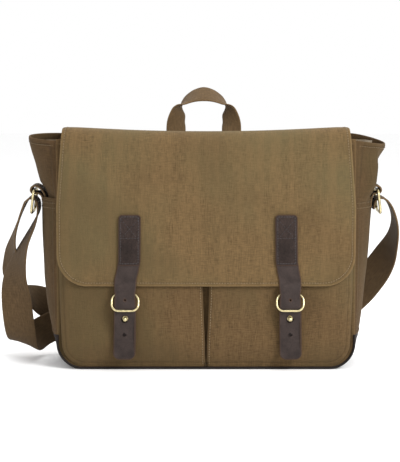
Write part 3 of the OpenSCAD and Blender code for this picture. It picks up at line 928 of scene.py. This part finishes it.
# leather under the bag and up its ends, with the same swell as the sides
def makeBaseStrip():
    half, radius = bag["halfWidth"] + 1, bag["cornerRadius"] + 1
    top, hem = bag["wrapHeight"], stripSettings["hem"]
    baseDepth = bag["baseHalf"] - stripSettings["inset"]
    width = 2 * baseDepth
    path = [(half, top + 1.5), (half, radius)]
    path += arcPoints((half - radius, radius), radius, 0, -90, 14)[1:]
    path = [(-x, z) for x, z in path] + path[::-1]
    line = evenLine(np.array([(x, 0, z) for x, z in path]), 2)
    along = lengthsAlong(line)
    tangent = np.gradient(line, axis=0)
    tangent /= np.linalg.norm(tangent, axis=1)[:, None]

    def place(a, b):
        x, z = lineAt(line, along, b)
        alongX, alongZ = lineAt(tangent, along, b)
        outX, outZ = np.stack([alongZ, -alongX]) / np.hypot(alongX, alongZ)
        share = np.clip(a / width, 0, 1)
        swell = stripSettings["swell"] * np.clip(z / top, 0, 1.1) ** 1.4 * np.sin(share * math.pi) ** 0.75
        depth = baseDepth - z * bag["leanSlope"]
        return np.stack([x + outX * swell, -depth + 2 * depth * share, z + outZ * swell], 1)

    loop = rectangle(0, 0, width, along[-1])
    relief = hemRelief(4, 0.2, 0.3)
    strip = cutPiece("baseLeather", loop, place, stripSettings["thick"], "trim", grid=7, relief=relief)
    move(strip, root)
    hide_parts("base_strip")
    for b in (hem, along[-1] - hem):
        sewOn(place, rowAt(b, 3, width - 3, 40), 0.2, root, "leatherThread")


def pocketDepth(z):
    return np.interp(z, [0, 4, 30, 198, 220], [4.2, 4.6, 12.0, 13.4, 13.6])


pocketSettings = {
    "inset": 1.8,
    "low": 3.6,
    "round": 15,  # how far in from the sewn edge the cloth curves back
    "turn": 2.6,  # depth of the turn at the split
    "foldBack": 11,  # cloth turned in at the split
    "seam": 3.6,  # from the split to the seam beside it
    "splitTop": 4.4,
    "splitMiddle": 3.0,
    "splitLow": 0.3,
}


# front pocket: sewn along its side and base, open on top, its inner edge folded back
def makeFrontPockets():
    half = bag["halfWidth"] - pocketSettings["inset"]
    radius = bag["cornerRadius"] - pocketSettings["inset"]
    low, top = pocketSettings["low"], bag["pocketTop"]
    border = np.array(divideLoop(panelLoop(half, low, top + 80, radius), 6))
    splits = [pocketSettings[key] for key in ("splitLow", "splitLow", "splitMiddle", "splitTop")]
    for side, sign in (("left", -1), ("right", 1)):

        def place(a, b, sign=sign):
            split = np.interp(b, [0, 30, 90, 200], splits)
            reach, onFace = np.abs(a), a * sign > 0
            beyond = np.where(a * sign < 0, reach, 0)
            flat = np.stack([split + np.where(onFace, reach, 2), b], 1)
            gap = np.clip(edgeDistance(flat, border), 0, None)
            cover = 1 - np.exp(-((gap / pocketSettings["round"]) ** 1.1) * 2.2)
            depth = pocketDepth(b) * (0.07 + 0.93 * cover)
            halfTurn = pocketSettings["turn"] / 2
            inset = np.where(onFace, halfTurn * np.exp(-reach / 2.2), halfTurn + beyond)
            swell = np.where(onFace, 0.8 * ripple(a, b, 51 + sign, 90) * cover, 0)
            y = frontFace(b) - depth + np.minimum(inset, depth - 1) - swell
            x = split + np.where(onFace, reach, 0.5 * np.sqrt(np.clip(beyond, 0, 4)))
            return np.stack([sign * x, y, b], 1)

        inner = -pocketSettings["foldBack"]
        outer = half - pocketSettings["splitTop"]
        corner = arcPoints((outer - radius, low + radius), radius, -90, 0)
        if sign > 0:
            loop = [(inner, low + 1), (0, low), *corner, (outer, top), (inner, top)]
        else:
            mirrored = [(-x, z) for x, z in corner][::-1]
            loop = [(-outer, top), *mirrored, (0, low), (-inner, low + 1), (-inner, top)]
        relief = hemRelief(5, 0.3, 0.35)
        pocket = cutPiece(f"frontPocket_{side}_cloth", loop, place, 1.6, "pocket", grid=5, relief=relief)
        move(pocket, root)
        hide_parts(f"front_pocket_{side}")
        seamAt = sign * pocketSettings["seam"]
        sewOn(place, [(seamAt, b) for b in np.linspace(low + 4, top - 4, 80)], 0.15, root)
        sewOn(place, rowAt(top - 8, sign * 5, sign * (outer - 4), 90), 0.15, root)


makePanels()
makeSides()
makeBaseStrip()
makeFrontPockets()
print("body made")


# ---- inside ----


liningSettings = {
    "rows": [6.2, 7, 9, 13, 20, 34, 60, 90, 120, 150, 180, 205, 225, 245, 262],
    "around": 930,
    "thick": 0.8,
    "squareness": 0.16,
}
liningSwell = [(0, 0), (40, 4), (110, 9), (209, 9), (232, 13), (262, 24), (281, 30)]


# one bag of thin cloth, as a doubled wall of rounded rectangles
def makeLining():
    top, thick = bag["mouth"] - 3, liningSettings["thick"]
    rows = [*liningSettings["rows"], top]
    turns = np.linspace(0, 2 * math.pi, 121)[:-1]
    corner = bag["cornerRadius"] - 3

    def ringAt(z, inset):
        halfY = bag["baseHalf"] - z * bag["leanSlope"] - 2.8 - inset
        lift = max(0.0, corner + 5.4 - z)
        narrowing = corner - math.sqrt(max(0.0, corner**2 - min(lift, corner) ** 2))
        halfX = bag["halfWidth"] - 4.5 - inset - narrowing
        swell = np.interp(z, *zip(*liningSwell))
        x, y = np.cos(turns), np.sin(turns)
        px = np.sign(x) * np.abs(x) ** liningSettings["squareness"]
        py = np.sign(y) * np.abs(y) ** liningSettings["squareness"]
        endShare = np.sign(px) * np.clip((np.abs(px) - 0.8) / 0.2, 0, 1)
        bulge = swell * np.clip(1 - py**2, 0, 1) ** 0.5 * endShare
        level = np.full_like(px, z)
        wave = 0.12 * ripple(px * 180, level, 77, 70)
        return np.stack([px * halfX + bulge, py * (halfY - 0.3 + wave), level], 1)

    outer = [ringAt(z, 0) for z in rows]
    inner = [ringAt(max(z, rows[0] + thick), thick) for z in rows[::-1]]
    allRows = outer + inner
    count = len(turns)
    points = np.vstack(allRows)
    around = np.tile(turns / (2 * math.pi) * liningSettings["around"], len(allRows))
    levels = np.repeat(rows + rows[::-1], count)
    faces = []
    for k in range(len(allRows) - 1):
        for j in range(count):
            a, b = k * count + j, k * count + (j + 1) % count
            faces.append((a, b, b + count, a + count))
    faces.append(tuple(range(count))[::-1])
    last = (len(allRows) - 1) * count
    faces.append(tuple(last + j for j in range(count)))
    edge = np.abs(top - levels)
    lining = makeMesh("liningBag", points, faces, np.stack([around, levels], 1), edge, "lining")
    move(lining, root)
    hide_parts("lining")


# gaps are measured inward from the back panel
dividerSettings = {
    "thick": 4.6,
    "gap": 17.2,
    "quilt": 1.6,
    "channel": 55,
    "corner": 12,
    "slipGap": 21.2,
    "slipGape": 5.2,
    "strapGap": 21.6,
    "strapWidth": 38,
    "strapThick": 1.5,
}


# padded wall between the laptop and the rest, quilted in upright channels
def makeDivider():
    low, high = boxOf("laptop_divider")
    half, height = high[0], high[2] - low[2]
    corner = dividerSettings["corner"]

    def crown(a, b):
        gap = np.minimum(np.minimum(half - np.abs(a), b), height - b)
        channel = np.abs(np.sin(a / dividerSettings["channel"] * math.pi)) ** 0.35
        return (0.25 + 0.75 * channel) * (1 - np.exp(-np.clip(gap, 0, None) / 5))

    def place(a, b):
        level = low[2] + b
        y = -frontFace(level) - dividerSettings["gap"] - dividerSettings["quilt"] * crown(a, b)
        return np.stack([a, y, level], 1)

    side = height - corner
    loop = [(-half, 0), (half, 0), (half, side), *arcPoints((half - corner, side), corner, 0, 90),
            *arcPoints((corner - half, side), corner, 90, 180), (-half, side)]
    pad = cutPiece("laptopDivider", loop, place, dividerSettings["thick"], "divider", grid=6,
                   bands=(0.9, 2.2, 4, 6, 8.5), rimSteps=5)
    move(pad, root)
    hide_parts("laptop_divider")


def makeSlipPocket():
    low, high = boxOf("slip_pocket")
    wide = high[0]

    def place(a, b):
        across = np.sin(np.clip((a / wide + 1) / 2, 0, 1) * math.pi)
        gape = dividerSettings["slipGape"] * across * np.clip((b - low[2]) / 110, 0, 1)
        return np.stack([a, -frontFace(b) - dividerSettings["slipGap"] - gape, b], 1)

    loop = rectangle(-wide, low[2], wide, high[2])
    slip = cutPiece("slipPocket", loop, place, 0.8, "lining", grid=7, bands=(0.9, 3, 5, 7),
                    relief=hemRelief(5, 0.2, 0.2))
    move(slip, root)
    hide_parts("slip_pocket")
    sewOn(place, rowAt(high[2] - 5, 4 - wide, wide - 4, 60), 0.1, root)


def makeDividerStrap():
    low, high = boxOf("divider_strap")
    levels = np.linspace(low[2], high[2] + 3, 30)
    y = -frontFace(levels) - dividerSettings["strapGap"] - 0.6 * np.sin((levels - low[2]) / 30)
    centre = np.stack([0 * levels, y, levels], 1)
    across = np.tile([1.0, 0, 0], (len(levels), 1))
    width, thick = dividerSettings["strapWidth"], dividerSettings["strapThick"]
    strap = bandPiece("dividerStrap", centre, across, width, thick, "webbing")
    move(strap, root)
    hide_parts("divider_strap")


makeLining()
makeDivider()
makeSlipPocket()
makeDividerStrap()
print("inside made")


# ---- flap ----

# the flap's line from its bottom edge up, over the fold and back to the seam
flapCurve = [(-63.6, 0, 105), (-62.7, 0, 140), (-61.2, 0, 185), (-58.6, 0, 225), (-55.2, 0, 256),
             (-51.6, 0, 277.8), (-46.8, 0, 289.2), (-37.5, 0, 294.8), (-18, 0, 295.6), (12, 0, 294.2),
             (37.5, 0, 292)]
flapProfile = evenLine(smoothLine(flapCurve, 1), 1)
flapAlong = lengthsAlong(flapProfile)
flapSettings = {
    "halfLow": 180.4,
    "halfTop": 174.2,
    "corner": 37,
    "fold": 190,  # distance up the flap where its sides turn upright
    "thick": 2.4,
    "seam": 3.2,
    "liningInset": 6,
    "liningThick": 0.7,
}


def flapPlace(a, b):
    y, z = lineAt(flapProfile, flapAlong, b)
    share = np.clip((z - 262) / 26, 0, 1)
    z = z - topSag(a) * share**1.5 - np.clip(-b, 0, 5)
    edge = np.clip((np.abs(a) - 150) / 30, 0, 1)
    wave = 0.7 * ripple(a, b, 5, 150) * np.clip(1 - b / 220, 0, 1)
    curl = 1.2 * np.exp(-np.clip(b, 0, None) / 9)
    rollIn = 2.2 * edge**2 * np.clip(b / 60, 0, 1)
    y = y + wave - curl * 0.5 + rollIn * np.clip(1 - share, 0, 1)
    return np.stack([a, y, z - 1.5 * edge**3 * share], 1)


def flapLoop(inset, top):
    wide, narrow = flapSettings["halfLow"] - inset, flapSettings["halfTop"] - inset
    radius = flapSettings["corner"] - inset * 0.5
    corner = arcPoints((wide - radius, inset + radius), radius, 270, 360, 15)
    right = [*corner, (wide + 0.3, 95), (narrow, flapSettings["fold"])]
    left = [(-x, z) for x, z in right[::-1]][:-1]
    return left + [(0, inset)] + right[1:] + [(narrow, top), (-narrow, top)]


def makeFlap():
    total, thick, seam = flapAlong[-1], flapSettings["thick"], flapSettings["seam"]
    relief = hemRelief(seam, 0.25, 0.4)
    flap = cutPiece("flapCloth", flapLoop(0, total), flapPlace, thick, "flap", grid=5, step=3, relief=relief)
    move(flap, flapMotion)
    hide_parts("flap_top", "flap_front")

    # one row of stitches round the three free sides, started where the open end leaves a gap
    line = np.array(divideLoop(flapLoop(seam, total + 5), 3))
    line = line[line[:, 1] < total - 2]
    first = int(np.argmax(np.linalg.norm(np.diff(line, axis=0), axis=1))) + 1
    line = np.roll(line, -first, 0) if np.linalg.norm(line[0] - line[-1]) < 20 else line
    sewOn(flapPlace, line, 0.1, flapMotion)

    def liningPlace(a, b):
        return onSurface(flapPlace, np.stack([-a, b], 1), -thick - 0.9)

    loop = flapLoop(flapSettings["liningInset"], total - 16)
    lining = cutPiece("flapLiningCloth", loop, liningPlace, flapSettings["liningThick"], "lining", grid=9,
                      bands=(1, 3, 5))
    move(lining, flapMotion)
    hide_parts("flap_lining")


# strip that joins the flap to the back of the bag
flangeCurve = [(43.4, 0, 262), (42.9, 0, 276), (42, 0, 284), (39.2, 0, 287.8), (33.5, 0, 288.5),
               (24, 0, 289.2)]


def makeFlange():
    line = smoothLine(flangeCurve, 1)
    along = lengthsAlong(line)

    def place(a, b):
        y, z = lineAt(line, along, b)
        return np.stack([-a, y, z - topSag(a)], 1)

    wide = flapSettings["halfTop"] - 0.5
    loop = rectangle(-wide, 0, wide, along[-1])
    flange = cutPiece("flapFlange", loop, place, 1.2, "flap", grid=4, bands=(0.9, 2.2, 3.5, 5),
                      relief=hemRelief(4, 0.2, 0.3))
    move(flange, flangeMotion)
    for b in (4, along[-1] - 4):
        sewOn(place, rowAt(b, 4 - wide, wide - 4, 110), 0.1, flangeMotion)


makeFlap()
makeFlange()
print("flap made")


# ---- closures ----

# the middle of each strap from its top down, as heights and places across
closureSettings = {
    "left": [(191, -92.3), (135, -92.9), (122, -95.3), (113, -97.6), (106, -98), (66, -98.3), (15, -99.6)],
    "right": [(191, 97), (135, 97.6), (122, 99.8), (113, 101.7), (106, 102), (66, 102.2), (15, 103.2)],
}
closureX = {"left": -0.098, "right": 0.102}
strapShape = {
    "width": 25.4,
    "thick": 2.2,
    "tip": 15.5,
    "top": 190,
    "tipCorner": 7,
    "topCorner": 5,
    "holes": (88.3, 45.2),
    "holeRadius": 1.9,
    "stud": 65,
    "studHole": 4.0,
}
# the strap's line below the flap, through the ring and down its tail
strapDrop = [(-67.2, 0, 108), (-69.9, 0, 101), (-71, 0, 94), (-71.1, 0, 84), (-71.0, 0, 73), (-70.0, 0, 64),
             (-67.6, 0, 52), (-66.95, 0, 42), (-67.1, 0, 28), (-67.8, 0, strapShape["tip"])]
patchSettings = {
    "thick": 1.0,
    "lift": 0.75,
    "grow": 0.35,  # past the strap on each side
    "low": 130,
    "corner": 4,
    "seam": 2.4,
    "seamCorner": 2.6,
    "crossLow": 27,  # from the strap's top down to the cross of stitches
    "crossHigh": 5,
}


def flapFaceAt(x, z):
    face = int(len(flapProfile) * 0.6)
    b = np.interp(z, flapProfile[:face, 2], flapAlong[:face])
    return flapPlace(np.full_like(b, x), b)[:, 1]


def makeClosure(side, middle):
    levels, centres = zip(*middle[::-1])
    high = np.linspace(strapShape["top"], 116, 14)
    face = flapFaceAt(centres[-1], high) - 0.5 - strapShape["thick"]
    path = [(y, 0, z) for y, z in zip(face, high)] + strapDrop
    line = smoothLine(path[::-1], 1)
    along = lengthsAlong(line)

    def place(a, b):
        y, z = lineAt(line, along, b)
        slim = 1 - 0.04 * np.exp(-(((z - 86) / 13) ** 2)) - 0.07 * np.exp(-(((z - 94.6) / 6) ** 2))
        x = a * slim + np.interp(z, levels, centres)
        cupped = 0.25 * (a / 12.7) ** 2
        over = np.clip(b - along[-1], 0, None)
        under = np.clip(-b, 0, None)
        return np.stack([x, y + cupped, z + over - under], 1)

    def alongAt(z):
        return float(np.interp(z, line[:, 2], along))

    half, top = strapShape["width"] / 2, along[-1]
    tip, corner = strapShape["tipCorner"], strapShape["topCorner"]
    loop = [(tip - half, 0), (half - tip, 0), *arcPoints((half - tip, tip), tip, -80, -5, 5), (half, 14),
            (half, top - corner), *arcPoints((half - corner, top - corner), corner, 0, 90, 6),
            *arcPoints((corner - half, top - corner), corner, 90, 180, 6), (-half, 14),
            *arcPoints((tip - half, tip), tip, 185, 260, 5)]
    radius = strapShape["holeRadius"]
    holes = [arcPoints((0, alongAt(z)), radius, 0, 345, 16) for z in strapShape["holes"]]
    x = closureX[side]
    stud = strapShape["stud"]
    studShift = x / milli - float(np.interp(stud, levels, centres))
    holes.append(arcPoints((studShift, alongAt(stud)), strapShape["studHole"], 0, 350, 24))
    strap = cutPiece(f"closureStrap_{side}", loop, place, strapShape["thick"], "leather", grid=3.2, step=2,
                     bands=(0.5, 1.2, 2.4), holes=holes)
    motion = ("blend", "flap_drop", f"tail_{side}", (x, -0.0700, 0.0775), (x, -0.0700, 0.0675))
    move(strap, motion)
    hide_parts(f"closure_strap_{side}", f"strap_tail_{side}")
    makePatch(side, place, alongAt(patchSettings["low"]), top)
    makeAnchorTab(side, x / milli)


# the part sewn to the flap: a second layer with a box and cross of stitches
def makePatch(side, strapPlace, low, top):
    wide = strapShape["width"] / 2 + patchSettings["grow"]
    rideDrop = ("ride", "flap_drop")

    def place(a, b):
        return onSurface(strapPlace, np.stack([a, b], 1), patchSettings["lift"])

    corner = patchSettings["corner"]
    roundAt = top + 1 - corner
    loop = [(-wide, low), (wide, low), (wide, roundAt),
            *arcPoints((wide - corner, roundAt), corner, 0, 90, 6),
            *arcPoints((corner - wide, roundAt), corner, 90, 180, 6)]
    patch = cutPiece(f"closurePatch_{side}", loop, place, patchSettings["thick"], "patch", grid=3, step=2,
                     bands=(0.5, 1.4, 2.2, 3.2))
    move(patch, rideDrop)

    gap = patchSettings["seam"]
    seam = wide - gap
    corner = patchSettings["seamCorner"]
    roundAt = top - 1 - corner
    line = [(-seam, top - 4), (-seam, low + gap), (seam, low + gap), (seam, top - 4),
            *arcPoints((seam - corner, roundAt), corner, 0, 90, 5),
            *arcPoints((corner - seam, roundAt), corner, 90, 180, 5)]
    sewOn(place, divideLoop(line, 2), 0.15, rideDrop, "leatherThread")
    crossLow, crossHigh = top - patchSettings["crossLow"], top - patchSettings["crossHigh"]
    cross = [[(1 - seam, crossLow), (seam - 1, crossHigh)], [(1 - seam, crossHigh), (seam - 1, crossLow)],
             [(-seam, crossLow), (seam, crossLow)]]
    for start, end in cross:
        share = np.linspace(0, 1, 16)[:, None]
        row = np.array(start) * (1 - share) + np.array(end) * share
        sewOn(place, row, 0.15, rideDrop, "leatherThread")


anchorSettings = {
    "thick": 1.8,
    "bar": (-65.4, 95.0),  # the ring's bar, as (y, z)
    "loopRadius": 2.5,
    "half": 11.9,
    "neck": 6.9,
    "corner": 5,
}


def makeAnchorTab(side, x):
    low, high = boxOf(f"anchor_tab_{side}")
    (barY, barZ), radius = anchorSettings["bar"], anchorSettings["loopRadius"]
    behind = high[1] - 1.0
    back = [(behind, 0, low[2] + 0.5), (behind, 0, 60), (behind, 0, barZ - 6)]
    turn = [(y, 0, z) for y, z in arcPoints((barY, barZ), radius, 0, 200, 12)]
    line = evenLine(np.array(back + turn), 1.0)
    along = lengthsAlong(line)

    def place(a, b):
        y, z = lineAt(line, along, b)
        (aheadY, aheadZ), (behindY, behindZ) = lineAt(line, along, b + 0.5), lineAt(line, along, b - 0.5)
        dy, dz = aheadY - behindY, aheadZ - behindZ
        size = np.hypot(dy, dz) + 1e-9
        return np.stack([x + a, y - dz / size, z + dy / size], 1)

    half, neck, corner = (anchorSettings[key] for key in ("half", "neck", "corner"))
    rising = len(line) // 2 + 20
    shoulder = float(np.interp(barZ - 10, line[:rising, 2], along[:rising]))
    total = along[-1]
    loop = [(corner - half, 0), (half - corner, 0), (half, corner), (half, shoulder - 4),
            (neck, shoulder + 2), (neck, total), (-neck, total), (-neck, shoulder + 2),
            (-half, shoulder - 4), (-half, corner)]
    tab = cutPiece(f"anchorTab_{side}_leather", loop, place, anchorSettings["thick"], "leather", grid=3,
                   step=1.5, bands=(0.5, 1.4))
    move(tab, ("ride", "flap_drop"))
    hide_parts(f"anchor_tab_{side}")


for closureSide, closureLine in closureSettings.items():
    makeClosure(closureSide, closureLine)
print("closures made")


# ---- handle and side tabs ----

handleSettings = {
    "width": 24.5,
    "thick": 2.5,
    "half": 35,
    "centre": -2.5,
    "low": 234,
    "off": 2.0,  # from the back panel at its foot
    "lean": 0.6,  # more than that at the top of the leg
    "boxHalf": 9,
    "boxLow": 238,
    "boxHigh": 262,
}

# middle of the handle and the direction of its width, from the left leg to the crown
handleArch = [
    ((-35.2, 46, 290), (-0.995, -0.1, 0)), ((-34.8, 50.5, 300), (-0.85, -0.5, -0.12)),
    ((-32.6, 53.5, 309), (-0.7, -0.63, -0.32)), ((-30.4, 55.4, 316.2), (-0.52, -0.76, -0.38)),
    ((-26.6, 56.4, 321.9), (-0.26, -0.86, -0.44)), ((-20, 56.2, 327.6), (-0.08, -0.86, -0.5)),
    ((-11, 55.2, 332), (-0.02, -0.79, -0.6)), ((0, 54.4, 334), (0, -0.73, -0.68)),
]


def legDepth(z):
    return -frontFace(z) + handleSettings["off"] + handleSettings["lean"] * (z - handleSettings["low"]) / 52


def makeHandle():
    half, shift = handleSettings["half"], handleSettings["centre"]
    leg = [((-half, legDepth(z), z), (-1, 0, 0)) for z in np.linspace(handleSettings["low"], 280, 7)]
    rows = leg + handleArch
    rows += [((-x, y, z), (-u, v, w)) for (x, y, z), (u, v, w) in rows[-2::-1]]
    data = smoothLine([(*place, *width) for place, width in rows], 2)
    data[:, 0] += shift
    width, thick = handleSettings["width"], handleSettings["thick"]
    handle = bandPiece("grabHandle", data[:, :3], data[:, 3:], width, thick, "handle")
    move(handle, handleMotion)
    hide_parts("handle", "handle_tail_left", "handle_tail_right")
    wide, low, high = (handleSettings[key] for key in ("boxHalf", "boxLow", "boxHigh"))
    box = divideLoop(rectangle(-wide, low, wide, high), 3)
    for x in (shift - half, shift + half):
        for line in (box, [(-wide, low), (wide, high)], [(-wide, high), (wide, low)]):
            line = evenLine(np.array([(a, z, 0) for a, z in np.array(line)[:, :2]]), 3)
            y = legDepth(line[:, 1]) + 1.35
            sew(np.stack([x + line[:, 0], y, line[:, 1]], 1), root)


# outward distance and height of the webbing that holds each ring, from inside the pocket and back
tabLines = {
    "left": [(196.8, 196), (197.8, 208), (202.5, 217.6), (208.8, 222.3), (214.5, 221.6), (216.4, 217),
             (213.5, 213.4), (208, 213.8), (203.4, 211), (200.4, 204), (199.4, 196)],
    "right": [(201, 196), (201.4, 208), (204, 217.8), (209, 222.5), (214.5, 221.6), (216.4, 217),
              (213.5, 213.4), (208.8, 213.8), (205.6, 210.5), (204, 204), (203.6, 196)],
}
tabSettings = {"width": 35, "thick": 2.3}


def makeSideTabs():
    width, thick = tabSettings["width"], tabSettings["thick"]
    for side, sign in (("left", -1), ("right", 1)):
        line = smoothLine([(sign * x, 0, z) for x, z in tabLines[side]], 1.2)
        across = np.tile([0.0, 1.0, 0.0], (len(line), 1))
        tab = bandPiece(f"ringTab_{side}", line, across, width, thick, "webbing")
        move(tab, root)
        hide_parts(f"strap_tab_{side}")


makeHandle()
makeSideTabs()
makeStitches()
print("handle, tabs and stitches made")


# ---- CAD pieces that stay ----


hardware = ("snap_", "stud_", "closure_ring", "strap_ring", "strap_slider")


def paintNodes():
    paints = {
        "trim": ("piping_front", "piping_back"),
        "board": ("base_stiffener",),
        "brass": [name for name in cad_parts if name.startswith(hardware)],
    }
    for finishName, names in paints.items():
        for name in names:
            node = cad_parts[name]
            node.data.materials.clear()
            node.data.materials.append(finishes[finishName])


paintNodes()
